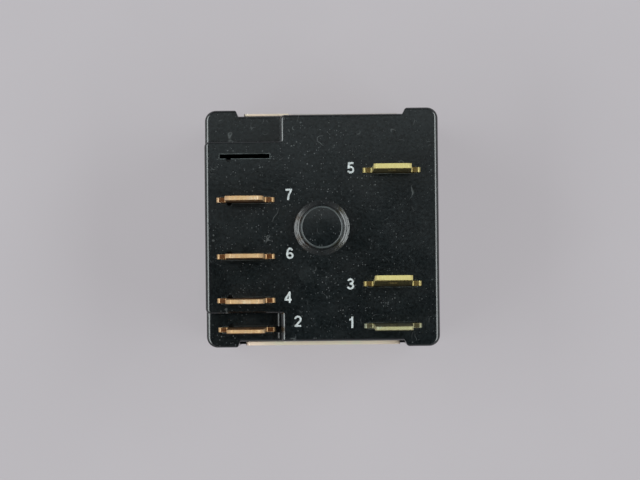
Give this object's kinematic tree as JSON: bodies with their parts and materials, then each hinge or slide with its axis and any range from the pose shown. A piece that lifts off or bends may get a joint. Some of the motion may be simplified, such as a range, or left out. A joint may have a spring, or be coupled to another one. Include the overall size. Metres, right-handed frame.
{
  "type": "plug-in relay",
  "caption": "Square black plug-in relay with flat blade terminals and a round boss on its face, a strapped cover, and an electromagnet whose armature slides a card to move contact blades.",
  "frame": {"origin": "middle of the cover's resting face, which is the bottom centre of the bounding box", "axes": "+Z out of the terminal face along the blades, +X along the width of the blades from the column of contact terminals to the column of common terminals, +Y across the rows, from the coil terminals towards the empty slot"},
  "size_m": [0.0384, 0.0392, 0.0436],
  "materials": {
    "black_plastic": "moulded, semi-gloss",
    "copper_alloy": "stamped sheet, lightly tarnished",
    "brass_sheet": "stamped sheet",
    "zinc_plate": "yellow-passivated zinc on sheet steel",
    "iron": "nickel-plated soft iron",
    "silver_alloy": "contact silver",
    "spring_bronze": "rolled strip",
    "nylon": "moulded, matt",
    "enamelled_wire": "enamelled copper",
    "amber_film": "insulating tape",
    "fibre_card": "moulded phenolic, matt"
  },
  "bodies": {
    "housing": {"base": "black_plastic", "cover": "black_plastic", "retaining_strap": "zinc_plate", "terminal_1": "brass_sheet", "terminal_2": "copper_alloy", "terminal_3": "brass_sheet", "terminal_4": "copper_alloy", "terminal_5": "brass_sheet", "terminal_6": "copper_alloy", "terminal_7": "copper_alloy", "fixed_contact_4": "silver_alloy", "fixed_contact_6": "silver_alloy", "fixed_contact_7": "silver_alloy", "blade_rivet_3_lower": "iron", "blade_rivet_3_upper": "iron", "blade_rivet_5_lower": "iron", "blade_rivet_5_upper": "iron", "yoke": "iron", "core": "iron", "bobbin": "nylon", "coil_winding": "enamelled_wire", "coil_tape": "amber_film", "coil_lead_1": "enamelled_wire", "coil_lead_2": "enamelled_wire", "armature_keeper": "spring_bronze", "keeper_rivet_left": "iron", "keeper_rivet_right": "iron", "return_spring": "iron"},
    "armature": {"armature": "iron"},
    "card": {"actuator_card": "fibre_card"},
    "contact_arm_3": {"contact_blade_3": "spring_bronze", "moving_contact_3": "silver_alloy"},
    "contact_arm_5": {"contact_blade_5": "spring_bronze", "moving_contact_5": "silver_alloy"}
  },
  "joints": [
    {"name": "armature_hinge", "type": "hinge", "parent": "housing", "child": "armature", "pos_m": [0, 0.0114, 0.0034], "axis": [1, 0, 0], "range_deg": [0, 3.4], "stiffness_Nm_per_rad": 0.02, "springref_deg": -3.44},
    {"name": "card_slide", "type": "slide", "parent": "housing", "child": "card", "axis": [0, -1, 0], "range_m": [0, 0.00101], "deforming": ["return_spring"]},
    {"name": "blade_3_flex", "type": "hinge", "parent": "housing", "child": "contact_arm_3", "pos_m": [0.0094, -0.0086, 0.02415], "axis": [0, 0, 1], "range_deg": [0, 3.14]},
    {"name": "blade_5_flex", "type": "hinge", "parent": "housing", "child": "contact_arm_5", "pos_m": [0.0094, 0.0086, 0.02415], "axis": [0, 0, 1], "range_deg": [0, 3.14]}
  ],
  "couplings": [
    {"joint": "card_slide", "follows": "armature_hinge", "m_per_rad": 0.017},
    {"joint": "blade_3_flex", "follows": "armature_hinge", "ratio": 0.92362},
    {"joint": "blade_5_flex", "follows": "armature_hinge", "ratio": 0.92362}
  ]
}
